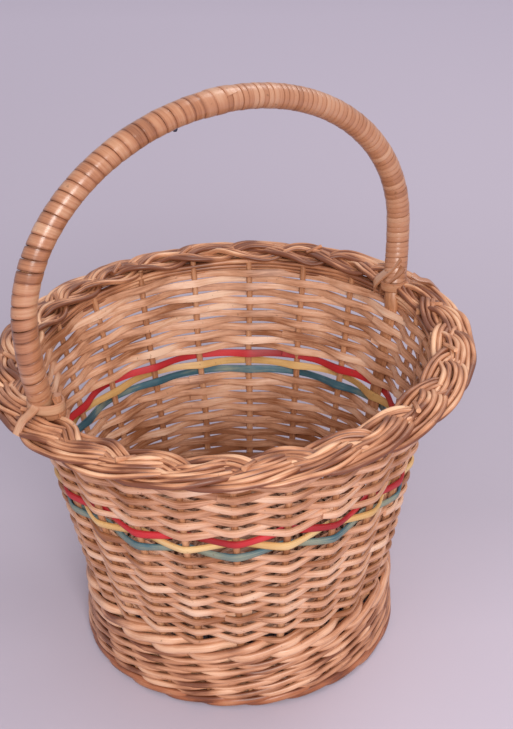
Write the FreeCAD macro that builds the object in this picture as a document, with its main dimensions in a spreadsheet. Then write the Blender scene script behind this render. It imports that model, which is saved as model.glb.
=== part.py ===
"""Woven willow basket with a flared foot, a plaited rim and a fixed hoop handle.

Frame: +Z is up and the floor is Z = 0. The origin is the middle of the foot's underside.
The hoop stands in the XZ plane: its near foot is at -X and its far foot at +X.

Construction: upright stakes stand in a ring and lean outwards. Flat split weavers go round
them, over one and under one, and each row passes the stakes on the other side from the row
below it. The stakes end in a plait of three strands. The two ends of the hoop's rod are cut
flat and woven in like stakes. The foot is a ring of short stakes with twisted rods round them.

Places round the basket are counted in stakes: station 0 is the leg near +X, and each whole
number is one stake further round. The back half has fewer and wider gaps than the front half.
"""
import FreeCAD, Part
import Sketcher
import math
import os

V = FreeCAD.Vector
doc = FreeCAD.newDocument("willow_basket")

# ---------------------------------------------------------------- driving dimensions, mm
DIMENSIONS = [
    ("rim_diameter", 250.0, "outside of the plaited rim"),
    ("rim_level", 168.0, "middle of the plait above the floor"),
    ("rim_rise", 11.8, "how much higher one side of the rim is than the other"),
    ("rim_rise_angle", 22.0, "where the rim is highest, in degrees round from +X"),
    ("stake_turn", -4.0, "how far the stakes are turned from the hoop's plane, in degrees"),
    ("waist_diameter", 159.0, "ring of stakes at the waist"),
    ("waist_level", 38.0, "bottom of the lowest wall row"),
    ("mouth_inset", 2.0, "from the inner edge of the plait out to the ring of stakes under it"),
    ("mouth_drop", 7.0, "from the middle of the plait down to the top of the highest wall row"),
    ("foot_diameter", 176.0, "outside of the foot's border"),
    ("stake_diameter", 3.6, "round upright stake at its butt"),
    ("stake_tip_diameter", 3.0, "the same stake under the plait"),
    ("weaver_width", 4.6, "height of a flat weaver where it passes a stake"),
    ("dyed_width", 4.6, "height of a dyed weaver, and the spacing of the dyed rows"),
    ("weaver_thickness", 1.7, "thickness of a flat weaver"),
    ("weave_clearance", 0.15, "gap between a stake and what passes it"),
    ("plait_width", 24.0, "radial width of the plait"),
    ("plait_thickness", 11.0, "height of the plait"),
    ("plait_strand_width", 9.0, "one strand of the plait, a flat bundle of rods"),
    ("plait_strand_thickness", 4.0, "the same strand, from its top to its underside"),
    ("hoop_inset", 0.2, "from the middle of the plait in to the middle of the hoop's side"),
    ("hoop_rise", 87.0, "height of the round top above the straight sides"),
    ("hoop_straight", 42.0, "height of the hoop's straight sides above the middle of the plait"),
    ("hoop_lean", 4.0, "how far the top of the hoop leans towards +Y"),
    ("hoop_rod_diameter", 9.4, "rod inside the hoop's wrapping"),
    ("wrap_thickness", 1.2, "skein wrapped round the rod"),
    ("leg_width", 9.6, "flattened end of the hoop's rod, along the wall"),
    ("leg_thickness", 3.4, "flattened end of the hoop's rod, through the wall"),
    ("foot_rod", 2.8, "rod woven round the foot"),
    ("foot_stake", 3.0, "short stake of the foot"),
    ("border_height", 6.0, "rolled border under the foot"),
    ("border_width", 7.0, "rolled border under the foot, from inside to outside"),
    ("base_stick", 4.6, "stick of the base's cross"),
    ("base_rod", 2.4, "rod woven through the base"),
    ("tie_width", 5.0, "skein that ties the hoop's foot to the plait"),
    ("tie_thickness", 1.0, "thickness of that skein"),
    ("tie_gap", 1.3, "from the hoop's wrapping to that skein"),
    ("tack_diameter", 2.6, "tack that holds the near skein's end"),
    ("tack_length", 4.0, "the same tack, half of it below the wrapping"),
    ("tack_offset", 26.0, "distance of the tack from the middle of the hoop"),
]
ROW_COUNT = 32
DYED_ROWS = {17: "weaver_teal", 18: "weaver_yellow", 19: "weaver_red"}
FRONT_GAPS = 12
BACK_GAPS = 10
STATIONS = FRONT_GAPS + BACK_GAPS
PLAIT_STRANDS = 3
PLAIT_WAVES = 8
BASE_LAYER_STICKS = 4
BASE_SPOKES = 4 * BASE_LAYER_STICKS
WALE_RODS = 3
FOOT_STAKE_SHIFT = 0.22     # stations between a side stake and the foot stake beside it

sheet = doc.addObject("Spreadsheet::Sheet", "dimensions")
for line, (alias, value, note) in enumerate(DIMENSIONS, start=1):
    sheet.set("A%d" % line, str(value))
    sheet.set("B%d" % line, note)
    sheet.setAlias("A%d" % line, alias)
doc.recompute()


def size(alias):
    """Read one driving dimension from the sheet."""
    return float(sheet.get(alias))


stake_radius = size("stake_diameter") / 2
weaver_half = size("weaver_thickness") / 2
clearance = size("weave_clearance")
waist_radius = size("waist_diameter") / 2
mouth_radius = size("rim_diameter") / 2 - size("plait_width") + size("mouth_inset")
waist_level = size("waist_level")
mouth_level = size("rim_level") - size("mouth_drop")
plain_height = mouth_level - waist_level - len(DYED_ROWS) * size("dyed_width")
row_pitch = plain_height / (ROW_COUNT - len(DYED_ROWS))
lean_angle = math.atan2(mouth_radius - waist_radius, mouth_level - waist_level)
plait_radius = size("rim_diameter") / 2 - size("plait_width") / 2
stake_tip_level = size("rim_level") - size("plait_thickness") / 2
stake_tip_radius = waist_radius + math.tan(lean_angle) * (stake_tip_level - waist_level)


# ---------------------------------------------------------------- places on the basket
def station_angle(station):
    """Angle in radians of a station, counted in stakes from the leg near +X."""
    turns, rest = divmod(station, STATIONS)
    if rest <= BACK_GAPS:
        part = math.pi * rest / BACK_GAPS
    else:
        part = math.pi + math.pi * (rest - BACK_GAPS) / FRONT_GAPS
    return turns * 2 * math.pi + part + math.radians(size("stake_turn"))


def rim_lift(angle):
    """Extra height of the rim, which isn't level."""
    return size("rim_rise") / 2 * math.cos(angle - math.radians(size("rim_rise_angle")))


def lifted(level, angle):
    """Real height of a level of the wall: rows near the waist are level, rows near the rim rise with it."""
    share = (level - waist_level) / (size("rim_level") - waist_level)
    return level + share ** 2 * rim_lift(angle)


def wall_point(level, angle, outwards, upwards=0.0):
    """A point beside the straight stake line: outwards is square to the wall, upwards is along it."""
    height = lifted(level, angle)
    share = (height - waist_level) / (lifted(stake_tip_level, angle) - waist_level)
    radius = waist_radius + share * (stake_tip_radius - waist_radius)
    radius += outwards * math.cos(lean_angle) + upwards * math.sin(lean_angle)
    height += upwards * math.cos(lean_angle) - outwards * math.sin(lean_angle)
    return V(radius * math.cos(angle), radius * math.sin(angle), height)


def ring_point(radius, height, angle):
    return V(radius * math.cos(angle), radius * math.sin(angle), height)


# ---------------------------------------------------------------- solids from curved edges
def spline_edge(points, closed):
    curve = Part.BSplineCurve()
    curve.interpolate(Points=points, PeriodicFlag=closed)
    return curve.toShape()


def skin(sections, closed=False):
    """The faces between long edges that run through the same corner of every section."""
    corners = len(sections[0])
    edges = [spline_edge([section[corner] for section in sections], closed) for corner in range(corners)]
    return [Part.makeRuledSurface(edges[corner], edges[(corner + 1) % corners]) for corner in range(corners)]


def solid_from_faces(faces):
    shell = Part.makeShell(faces)
    shell.sewShape()
    solid = Part.makeSolid(shell)
    if solid.Volume < 0:
        solid.reverse()
    return solid


def solid_from_sections(sections, closed=False):
    """A solid between its sections, with flat ends unless it is a closed ring."""
    faces = skin(sections, closed)
    if not closed:
        for section in (sections[0], sections[-1]):
            faces.append(Part.Face(Part.makePolygon(section + section[:1])))
    return solid_from_faces(faces)


def sleeve_from_sections(outer, inner):
    """A tube between two sets of sections with the same corners, with a flat ring at each end."""
    faces = skin(outer) + skin(inner)
    for end in (0, -1):
        rim = Part.makePolygon(outer[end] + outer[end][:1])
        hole = Part.makePolygon(inner[end] + inner[end][:1])
        faces.append(Part.Face(rim).cut(Part.Face(hole)).Faces[0])
    return solid_from_faces(faces)


def rod_section(here, behind, ahead, across, wide, thick, corners=8):
    """Corners of an oval section at here, square to the line from behind to ahead."""
    forward = (ahead - behind).normalize()
    side = (across - forward * across.dot(forward)).normalize()
    other = forward.cross(side)
    section = []
    for corner in range(corners):
        turn = 2 * math.pi * (corner + 0.5) / corners
        section.append(here + side * (thick * math.cos(turn)) + other * (wide * math.sin(turn)))
    return section


def rod_along(route, begin, end, steps, wide, thick, closed=False, corners=8):
    """A rod along route(t): thick is its half size away from the basket's axis, wide the other one."""
    step = (end - begin) / steps
    count = steps if closed else steps + 1
    sections = []
    for index in range(count):
        at = begin + step * index
        here = route(at)
        across = V(here.x, here.y, 0)
        if across.Length < 1.0:
            across = V(0, 0, 1)
        section = rod_section(here, route(at - step / 4), route(at + step / 4), across, wide, thick, corners)
        sections.append(section)
    return solid_from_sections(sections, closed)


def add_shape(label, shape):
    piece = doc.addObject("Part::Feature", label)
    piece.Label = label
    piece.Shape = shape
    piece.Placement = FreeCAD.Placement()
    return piece


def add_group(label, solids):
    """Alike pieces that share one node, each of them still a solid of its own."""
    return add_shape(label, Part.makeCompound(solids))


pieces = []


# ---------------------------------------------------------------- side stakes
def add_stake(station):
    """A tapered rod from the waist to the underside of the plait."""
    angle = station_angle(station)
    foot = wall_point(waist_level, angle, 0)
    top = wall_point(stake_tip_level - clearance, angle, 0)
    stake = doc.addObject("Part::Cone", "stake_%02d" % station)
    stake.setExpression("Radius1", "dimensions.stake_diameter / 2")
    stake.setExpression("Radius2", "dimensions.stake_tip_diameter / 2")
    stake.Height = (top - foot).Length
    stake.Placement = FreeCAD.Placement(foot, FreeCAD.Rotation(V(0, 0, 1), top - foot))
    return stake


def add_stakes():
    """One stake at each station between the hoop's two legs, grouped by half of the basket."""
    halves = {
        "side_stakes_back": range(1, BACK_GAPS),
        "side_stakes_front": range(BACK_GAPS + 1, STATIONS),
    }
    for label, stations in halves.items():
        group = doc.addObject("Part::Compound", label)
        group.Label = label
        group.Links = [add_stake(station) for station in stations]
        doc.recompute()
        pieces.append(group)


# ---------------------------------------------------------------- wall weavers
# Section of a split weaver: flat inside, rounded outside, as shares of its thickness and width.
WEAVER_SECTION = [(-0.5, -0.5), (-0.5, 0.5), (0.1, 0.5), (0.5, 0.2), (0.5, -0.2), (0.1, -0.5)]
STEPS_PER_GAP = 6
ROW_START_STEP = 7     # stations from the start of one row to the start of the row above it
END_GAP = 0.05         # stations between a row's end and the stake that hides it


def add_weavers():
    """One weaver per row, open where its two ends meet inside the basket behind a stake.

    A weaver has its full width at the stakes. Between them it crosses its neighbours,
    and there it is pressed to the spacing of the rows.
    """
    swing = stake_radius + clearance + weaver_half
    steps = STATIONS * STEPS_PER_GAP
    bottom = waist_level
    for row in range(ROW_COUNT):
        dyed = row in DYED_ROWS
        spacing = size("dyed_width") if dyed else row_pitch
        full_width = size("dyed_width") if dyed else size("weaver_width")
        level = bottom + spacing / 2
        bottom += spacing
        start = (row * ROW_START_STEP + 1) % STATIONS + (row + 1) % 2
        sections = []
        for index in range(steps + 1):
            station = start + END_GAP + (STATIONS - 2 * END_GAP) * index / steps
            over = -math.cos(math.pi * (station - row))
            angle = station_angle(station)
            room = lifted(level + spacing / 2, angle) - lifted(level - spacing / 2, angle)
            pressed_width = min(full_width, room - clearance)
            width = pressed_width + (full_width - pressed_width) * over ** 2
            section = []
            for thick, wide in WEAVER_SECTION:
                out = swing * over + thick * size("weaver_thickness")
                section.append(wall_point(level, angle, out, wide * width))
            sections.append(section)
        label = DYED_ROWS.get(row, "weaver_row_%02d" % (row + 1))
        pieces.append(add_shape(label, solid_from_sections(sections)))


# ---------------------------------------------------------------- plaited rim
def add_plait():
    """Three flat strands plaited round the mouth, a third of a wave apart."""
    strand_thick = size("plait_strand_thickness") / 2
    strand_wide = size("plait_strand_width") / 2
    side_swing = size("plait_width") / 2 - strand_wide
    rise_swing = size("plait_thickness") / 2 - strand_thick

    def strand_route(shift):
        def route(angle):
            phase = PLAIT_WAVES * angle + shift
            radius = plait_radius + side_swing * math.sin(phase)
            height = size("rim_level") + rim_lift(angle) - rise_swing * math.sin(2 * phase)
            return ring_point(radius, height, angle)
        return route

    steps = PLAIT_WAVES * 14
    passages = [hoop_passage(side) for side in (-1, 1)]
    for number in range(PLAIT_STRANDS):
        route = strand_route(2 * math.pi * number / PLAIT_STRANDS)
        strand = rod_along(route, 0, 2 * math.pi, steps, strand_thick, strand_wide, closed=True)
        for passage in passages:
            strand = strand.cut(passage)
        pieces.append(add_shape("plait_strand_%d" % (number + 1), strand.Solids[0]))


# ---------------------------------------------------------------- hoop handle
hoop_half = plait_radius - size("hoop_inset")
hoop_spring = size("rim_level") + size("hoop_straight")
hoop_lean_slope = size("hoop_lean") / (size("hoop_straight") + size("hoop_rise"))
STRAIGHT_SHARE = 0.16     # share of each half of the hoop that is straight
ARCH_STEPS = 22
LEG_STEPS = 8
HOOP_CORNERS = 12
WRAP_FIT = 0.15           # space between the rod and its wrapping, mm
WRAP_MARGIN = 0.1         # part of a step of the hoop left bare at each end of a wrapping
TIE_STEPS = 32


def leg_angle(side):
    """Angle of the hoop's leg on this side of the basket."""
    return station_angle(0 if side > 0 else BACK_GAPS)


def hoop_leg_top(side):
    """Where the hoop's round rod turns into its flat leg, in the inner edge of the plait."""
    return wall_point(size("rim_level"), leg_angle(side), 0)


def hoop_line(share):
    """The middle line of the hoop's round rod, from share 0 at -X to share 1 at +X."""
    side = 1 if share > 0.5 else -1
    turn = (share - 0.5) * 2
    if abs(turn) > 1 - STRAIGHT_SHARE:
        down = (abs(turn) - (1 - STRAIGHT_SHARE)) / STRAIGHT_SHARE
        foot = hoop_leg_top(side)
        level = hoop_spring + (foot.z - hoop_spring) * down
        across = hoop_half + (abs(foot.x) - hoop_half) * down ** 2
        point = V(side * across, foot.y * down ** 2, level)
    else:
        angle = math.pi / 2 * turn / (1 - STRAIGHT_SHARE)
        point = V(hoop_half * math.sin(angle), 0, hoop_spring + size("hoop_rise") * math.cos(angle))
    point.y += hoop_lean_slope * max(point.z - size("rim_level"), 0)
    return point


def hoop_passage(side):
    """The space that one end of the hoop takes where it goes down through the plait."""
    radius = size("hoop_rod_diameter") / 2 + WRAP_FIT + size("wrap_thickness") + clearance
    bottom = wall_point(mouth_level, leg_angle(side), 0)
    top = hoop_line((side + 1) / 2 - side * 2 / (2 * ARCH_STEPS))
    middle = hoop_leg_top(side)
    lower = Part.makeCylinder(radius, (middle - bottom).Length, bottom, middle - bottom)
    upper = Part.makeCylinder(radius, (top - middle).Length, middle, top - middle)
    return lower.fuse(upper)


def leg_sections(side):
    """Flat sections of one leg, in the order in which the rod runs from -X to +X."""
    angle = leg_angle(side)
    sections = []
    for step in range(LEG_STEPS + 1):
        level = waist_level + (mouth_level - waist_level) * step / LEG_STEPS
        here = wall_point(level, angle, 0)
        behind = wall_point(level + side, angle, 0)
        ahead = wall_point(level - side, angle, 0)
        outwards = V(side, 0, 0)
        sections.append(rod_section(here, behind, ahead, outwards, size("leg_width") / 2,
                                    size("leg_thickness") / 2, HOOP_CORNERS))
    return sections if side < 0 else sections[::-1]


def arch_section(share, radius):
    """A round section of the hoop at this share of its length."""
    nudge = 0.002
    here = hoop_line(share)
    behind = hoop_line(max(share - nudge, 0))
    ahead = hoop_line(min(share + nudge, 1))
    inside = V(0, 0, hoop_spring - hoop_half / 3)
    return rod_section(here, behind, ahead, V(here.x, 0, here.z) - inside, radius, radius, HOOP_CORNERS)


def add_hoop():
    """One rod, round over the top, cut flat at both ends and woven in as two stakes."""
    core = size("hoop_rod_diameter") / 2
    arch = [arch_section(step / (2 * ARCH_STEPS), core) for step in range(2 * ARCH_STEPS + 1)]
    pieces.append(add_shape("hoop_rod", solid_from_sections(leg_sections(-1) + arch + leg_sections(1))))


def add_wraps():
    """Two sleeves of skein on the hoop: one from each foot, meeting at the top."""
    hole = size("hoop_rod_diameter") / 2 + WRAP_FIT
    outside = hole + size("wrap_thickness")
    spans = {
        "hoop_wrap_near": (WRAP_MARGIN, ARCH_STEPS - WRAP_MARGIN),
        "hoop_wrap_far": (ARCH_STEPS + WRAP_MARGIN, 2 * ARCH_STEPS - WRAP_MARGIN),
    }
    for label, (begin, end) in spans.items():
        stops = [begin] + list(range(int(begin) + 1, int(end) + 1)) + [end]
        shares = [stop / (2 * ARCH_STEPS) for stop in stops]
        outer = [arch_section(share, outside) for share in shares]
        inner = [arch_section(share, hole) for share in shares]
        pieces.append(add_shape(label, sleeve_from_sections(outer, inner)))


def add_tack():
    """A small tack driven into the hoop's underside beside the end of the near wrapping."""
    reach = size("hoop_rod_diameter") / 2 + size("wrap_thickness") + size("tack_length") / 2
    turn = -math.asin(size("tack_offset") / hoop_half)
    height = hoop_spring + size("hoop_rise") * math.cos(turn)
    middle = V(-size("tack_offset"), hoop_lean_slope * (height - size("rim_level")), height)
    inwards = V(-math.sin(turn) * size("hoop_rise") / hoop_half, 0, -math.cos(turn)).normalize()
    tack = doc.addObject("Part::Cylinder", "hoop_tack")
    tack.Label = "hoop_tack"
    tack.setExpression("Radius", "dimensions.tack_diameter / 2")
    tack.setExpression("Height", "dimensions.tack_length")
    tack.Placement = FreeCAD.Placement(middle + inwards * reach, FreeCAD.Rotation(V(0, 0, 1), -inwards))
    pieces.append(tack)


def add_ties():
    """A loop of skein round the plait at each foot of the hoop."""
    across = size("plait_width") / 2 + clearance + size("tie_thickness") / 2
    along = size("plait_thickness") / 2 + clearance + size("tie_thickness") / 2
    hoop_outside = size("hoop_rod_diameter") / 2 + WRAP_FIT + size("wrap_thickness")
    shift = (hoop_outside + size("tie_gap") + size("tie_width") / 2) / plait_radius
    loops = []
    for side in (-1, 1):
        aside = leg_angle(side) + shift
        middle = ring_point(plait_radius, size("rim_level") + rim_lift(aside), aside)
        outwards = V(math.cos(aside), math.sin(aside), 0)
        sidewards = V(-math.sin(aside), math.cos(aside), 0)
        sections = []
        for step in range(TIE_STEPS):
            turn = 2 * math.pi * step / TIE_STEPS
            section = []
            for thick, wide in ((-0.5, -0.5), (-0.5, 0.5), (0.5, 0.5), (0.5, -0.5)):
                reach = thick * size("tie_thickness")
                place = middle + outwards * ((across + reach) * math.cos(turn))
                place += sidewards * (wide * size("tie_width"))
                section.append(place + V(0, 0, (along + reach) * math.sin(turn)))
            sections.append(section)
        loops.append(solid_from_sections(sections, closed=True))
    pieces.append(add_group("hoop_ties", loops))


# ---------------------------------------------------------------- base
base_stick_radius = size("base_stick") / 2
base_level = waist_level + base_stick_radius
base_wall_radius = waist_radius + math.tan(lean_angle) * base_stick_radius
base_radius = base_wall_radius - stake_radius - size("weaver_thickness") - 2 * clearance
stick_spacing = size("base_stick") + 2 * clearance
cross_half = BASE_LAYER_STICKS / 2 * stick_spacing + base_stick_radius / 2
STICK_DROP_RUN = 16.0       # distance from the cross over which a stick comes to the base's level, mm
FIRST_RING_REACH = 19.0     # distance from the cross to the first woven pair, where the spokes are apart, mm
STICK_STOPS = (0.08, 0.25, 0.6, 1)


def add_base_sticks():
    """Two layers of four sticks that cross in the middle and fan out to sixteen spokes."""
    fan_step = 2 * math.pi / BASE_SPOKES
    layer_drop = base_stick_radius + clearance / 2
    sticks = []
    for layer in (0, 1):
        for number in range(BASE_LAYER_STICKS):
            place = number - (BASE_LAYER_STICKS - 1) / 2

            def route(along, place=place, layer=layer):
                reach = abs(along)
                spread = max(reach - cross_half, 0)
                forward = min(reach, cross_half) + spread * math.cos(fan_step * place)
                forward = math.copysign(forward, along)
                across = place * stick_spacing + spread * math.sin(fan_step * place)
                drop = layer_drop * (1 - min(spread / STICK_DROP_RUN, 1.0))
                height = base_level + (drop if layer else -drop)
                return V(forward, across, height) if layer else V(across, forward, height)

            square = cross_half * math.cos(fan_step * place)
            square += place * stick_spacing * math.sin(fan_step * place)
            start = cross_half ** 2 + (place * stick_spacing) ** 2
            far = math.sqrt(square ** 2 - start + base_radius ** 2) - square
            outer_stops = [cross_half + far * share for share in STICK_STOPS]
            cross_stops = [-cross_half * 0.8, 0.0, cross_half * 0.8]
            sections = []
            for at in [-stop for stop in reversed(outer_stops)] + cross_stops + outer_stops:
                section = rod_section(route(at), route(at - 0.5), route(at + 0.5), V(0, 0, 1),
                                      base_stick_radius, base_stick_radius)
                sections.append(section)
            sticks.append(solid_from_sections(sections))
    pieces.append(add_group("base_sticks", sticks))


def add_base_weave():
    """Pairs of thin rods woven round the spokes, one over and one under at each spoke."""
    rod = size("base_rod") / 2
    swing = base_stick_radius + clearance + rod
    pitch = 4 * rod + 2 * clearance
    first = cross_half + FIRST_RING_REACH
    count = int((base_radius - first - pitch / 2) / pitch) + 1
    steps = BASE_SPOKES * 6
    rings = []
    for ring in range(count):
        radius = first + ring * pitch
        for hand in (-1, 1):

            def route(angle, radius=radius, hand=hand):
                phase = BASE_SPOKES / 2 * (angle - math.pi / BASE_SPOKES)
                out = radius + hand * (rod + clearance) * math.sin(phase)
                return ring_point(out, base_level + hand * swing * math.cos(phase), angle)

            rings.append(rod_along(route, 0, 2 * math.pi, steps, rod, rod, closed=True, corners=6))
    pieces.append(add_group("base_weave", rings))


# ---------------------------------------------------------------- foot
foot_rod = size("foot_rod") / 2
foot_stake_radius = size("foot_stake") / 2
foot_top = waist_level - 1.0
foot_swing = foot_stake_radius + clearance + foot_rod
foot_bottom_radius = size("foot_diameter") / 2 - foot_swing - foot_rod
foot_top_radius = waist_radius + 0.5
WALE_RISE = 1.2             # how far a wale rod rises and falls, in rod radii
WALE_END_GAP = 0.1          # stations between the two ends of a wale rod
BORDER_CHAMFER = 1.5        # bevel beside the border's underside, mm
BORDER_ROUNDING = 2.0       # bevel beside the border's top, mm
SHOULDER_SHARE = 0.45       # height of the border's widest place, as a share of its height


def foot_radius(level):
    """Radius of the foot's short stakes: it flares towards the floor."""
    share = 1 - level / foot_top
    return foot_top_radius + (foot_bottom_radius - foot_top_radius) * share


def add_foot_stakes():
    """Short rods between the border and the waist, one beside each side stake."""
    rods = []
    low = size("border_height")
    for station in range(STATIONS):
        angle = station_angle(station + FOOT_STAKE_SHIFT)
        bottom = ring_point(foot_radius(low), low, angle)
        top = ring_point(foot_radius(foot_top), foot_top, angle)
        rods.append(Part.makeCylinder(foot_stake_radius, (top - bottom).Length, bottom, top - bottom))
    pieces.append(add_group("foot_stakes", rods))


def wale_solids(level, first_station):
    """Three rods twisted round the stakes: each passes outside two stakes and inside one."""
    rods = []
    rise = foot_rod * WALE_RISE
    for number in range(WALE_RODS):

        def route(station, number=number):
            phase = 2 * math.pi * (station - number) / WALE_RODS
            out = foot_swing * (1 / 3 + 1.03 * math.cos(phase) - 0.3 * math.cos(2 * phase))
            angle = station_angle(station + FOOT_STAKE_SHIFT + 0.5)
            return ring_point(foot_radius(level) + out, level + rise * math.sin(phase), angle)

        end = first_station + STATIONS - WALE_END_GAP
        steps = STATIONS * 5
        rods.append(rod_along(route, first_station, end, steps, foot_rod, foot_rod, corners=6))
    return rods


def add_foot_weave():
    """Rounds of twisted rods from the border up to the waist, the top one under the wall's first row."""
    half_height = foot_rod * (1 + WALE_RISE)
    low = size("border_height") + half_height
    high = foot_top - half_height
    gaps = int((high - low) / (2 * half_height))
    rods = []
    for row in range(gaps):
        rods += wale_solids(low + (high - low) * row / gaps, row * WALE_RODS)
    pieces.append(add_group("foot_weave", rods))
    pieces.append(add_group("waist_wale", wale_solids(high, gaps * WALE_RODS)))


def add_foot_border():
    """Rolled border as one turned ring with a flat underside that stands on the floor."""
    body = doc.addObject("PartDesign::Body", "foot_border")
    body.Label = "foot_border"
    plane = [feature for feature in body.Origin.OriginFeatures if feature.Role == "XZ_Plane"][0]
    sketch = body.newObject("Sketcher::SketchObject", "border_section")
    sketch.AttachmentSupport = [(plane, "")]
    sketch.MapMode = "FlatFace"
    outside = size("foot_diameter") / 2
    inside = outside - size("border_width")
    top = size("border_height")
    shoulder = top * SHOULDER_SHARE
    corners = [
        V(inside + BORDER_CHAMFER, 0, 0),
        V(outside - BORDER_CHAMFER, 0, 0),
        V(outside, shoulder, 0),
        V(outside - BORDER_ROUNDING, top, 0),
        V(inside + BORDER_ROUNDING, top, 0),
        V(inside, shoulder, 0),
    ]
    for index, corner in enumerate(corners):
        sketch.addGeometry(Part.LineSegment(corner, corners[(index + 1) % len(corners)]))
    for index in range(len(corners)):
        sketch.addConstraint(Sketcher.Constraint("Coincident", index, 2, (index + 1) % len(corners), 1))
    width = sketch.addConstraint(Sketcher.Constraint("DistanceX", -1, 1, 2, 1, outside))
    sketch.setExpression("Constraints[%d]" % width, "dimensions.foot_diameter / 2")
    height = sketch.addConstraint(Sketcher.Constraint("DistanceY", -1, 1, 3, 1, top))
    sketch.setExpression("Constraints[%d]" % height, "dimensions.border_height")
    turned = body.newObject("PartDesign::Revolution", "border_ring")
    turned.Profile = sketch
    turned.ReferenceAxis = (sketch, ["V_Axis"])
    turned.Angle = 360
    sketch.Visibility = False
    doc.recompute()
    pieces.append(body)


# ---------------------------------------------------------------- build, check and write
add_stakes()
add_weavers()
add_plait()
add_hoop()
add_wraps()
add_tack()
add_ties()
add_base_sticks()
add_base_weave()
add_foot_stakes()
add_foot_weave()
add_foot_border()
doc.recompute()

for item in doc.Objects:
    if "Invalid" in item.State or "Error" in item.State:
        raise RuntimeError("object failed: " + item.Label)
for piece in pieces:
    if piece.Shape.isNull() or not piece.Shape.isValid():
        raise RuntimeError("bad shape: " + piece.Label)

os.makedirs("parts", exist_ok=True)
for piece in pieces:
    piece.Shape.exportStep("parts/%s.step" % piece.Label)
print(len(pieces), "nodes written")
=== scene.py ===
import math
import random

import bpy
import numpy as np
from mathutils import Matrix, Vector


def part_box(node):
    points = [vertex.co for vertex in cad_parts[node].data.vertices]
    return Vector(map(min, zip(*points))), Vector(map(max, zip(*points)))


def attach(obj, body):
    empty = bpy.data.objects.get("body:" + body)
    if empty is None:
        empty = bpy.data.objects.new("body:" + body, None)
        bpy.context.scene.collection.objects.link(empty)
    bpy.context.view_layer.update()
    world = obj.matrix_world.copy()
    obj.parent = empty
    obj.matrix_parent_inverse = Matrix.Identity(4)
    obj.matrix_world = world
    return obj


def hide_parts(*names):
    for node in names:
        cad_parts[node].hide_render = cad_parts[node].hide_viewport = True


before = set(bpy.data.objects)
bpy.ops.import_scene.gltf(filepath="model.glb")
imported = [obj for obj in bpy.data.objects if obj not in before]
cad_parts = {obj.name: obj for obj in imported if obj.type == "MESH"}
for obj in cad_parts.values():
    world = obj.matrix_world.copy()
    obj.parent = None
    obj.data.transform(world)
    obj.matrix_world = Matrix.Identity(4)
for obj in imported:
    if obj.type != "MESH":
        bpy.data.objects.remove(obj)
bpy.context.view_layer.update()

# A willow basket, in metres. Every rod is swept along its own line, so the weave is real geometry.
# The sizes are the design's driving sizes; levels of whole pieces are read from the frame.
MM = 0.001
WAIST_RADIUS = 79.5 * MM
WAIST_LEVEL = 38.0 * MM
MOUTH_RADIUS = 103.0 * MM
MOUTH_LEVEL = 161.0 * MM
RIM_LEVEL = 168.0 * MM
RIM_RISE = 11.8 * MM
RIM_RISE_ANGLE = math.radians(22.0)
STAKE_TURN = math.radians(-4.0)
FRONT_GAPS = 12
BACK_GAPS = 10
STATIONS = FRONT_GAPS + BACK_GAPS
ROW_COUNT = 32
DYED_ROWS = (18, 19, 20)
DYED_SPACING = 4.6 * MM
STAKE_RADIUS = 1.8 * MM
WEAVER_WIDTH = 4.55 * MM
WEAVER_THICKNESS = 1.7 * MM
PLAIT_RADIUS = 113.0 * MM
PLAIT_WAVES = 8
HOOP_HALF = 112.8 * MM
HOOP_SPRING = 210.0 * MM
HOOP_RISE = 87.0 * MM
HOOP_LEAN = 4.0 * MM
HOOP_CORE = 4.7 * MM
ROW_PITCH = (MOUTH_LEVEL - WAIST_LEVEL - len(DYED_ROWS) * DYED_SPACING) / (ROW_COUNT - len(DYED_ROWS))
TIP_LEVEL = RIM_LEVEL - 5.5 * MM
WALL_SLOPE = math.atan2(MOUTH_RADIUS - WAIST_RADIUS, MOUTH_LEVEL - WAIST_LEVEL)
FOOT_LOW, FOOT_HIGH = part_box("foot_border")
FOOT_OUTSIDE = (FOOT_HIGH[0] - FOOT_LOW[0]) / 2


# ------------------------------------------------------------------ places on the basket
def station_angle(station):
    """Angles round the basket for numpy stations, counted in stakes from the leg near +X."""
    station = np.asarray(station, float)
    turns = np.floor(station / STATIONS)
    rest = station - turns * STATIONS
    back = math.pi * rest / BACK_GAPS
    front = math.pi + math.pi * (rest - BACK_GAPS) / FRONT_GAPS
    return turns * 2 * math.pi + np.where(rest <= BACK_GAPS, back, front) + STAKE_TURN


def rim_lift(angle):
    """How much higher the rim is here than its mean level."""
    return RIM_RISE / 2 * np.cos(angle - RIM_RISE_ANGLE)


def lifted(level, angle):
    """Real height of a level of the wall: rows near the waist are level, rows near the rim rise with it."""
    share = np.maximum((level - WAIST_LEVEL) / (RIM_LEVEL - WAIST_LEVEL), 0)
    return level + share ** 2 * rim_lift(angle)


def wall_points(level, angle, outwards):
    """Points beside the straight stake line; outwards is square to the wall."""
    height = lifted(level, angle)
    share = (height - WAIST_LEVEL) / (lifted(TIP_LEVEL, angle) - WAIST_LEVEL)
    radius = WAIST_RADIUS + share * math.tan(WALL_SLOPE) * (TIP_LEVEL - WAIST_LEVEL)
    radius = radius + outwards * math.cos(WALL_SLOPE)
    height = height - outwards * math.sin(WALL_SLOPE)
    return np.stack([radius * np.cos(angle), radius * np.sin(angle), height], 1)


def row_level(row):
    """Middle of a wall row; rows count from 1 at the waist and the dyed rows are further apart."""
    dyed_below = min(max(row - DYED_ROWS[0], 0), len(DYED_ROWS))
    level = WAIST_LEVEL + ROW_PITCH * (row - 1 - dyed_below) + DYED_SPACING * dyed_below
    return level + (DYED_SPACING if row in DYED_ROWS else ROW_PITCH) / 2


def ring_points(radius, height, angle):
    """Points from cylindrical places round the basket's axis."""
    return np.stack([radius * np.cos(angle), radius * np.sin(angle), height + 0 * angle], 1)


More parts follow.
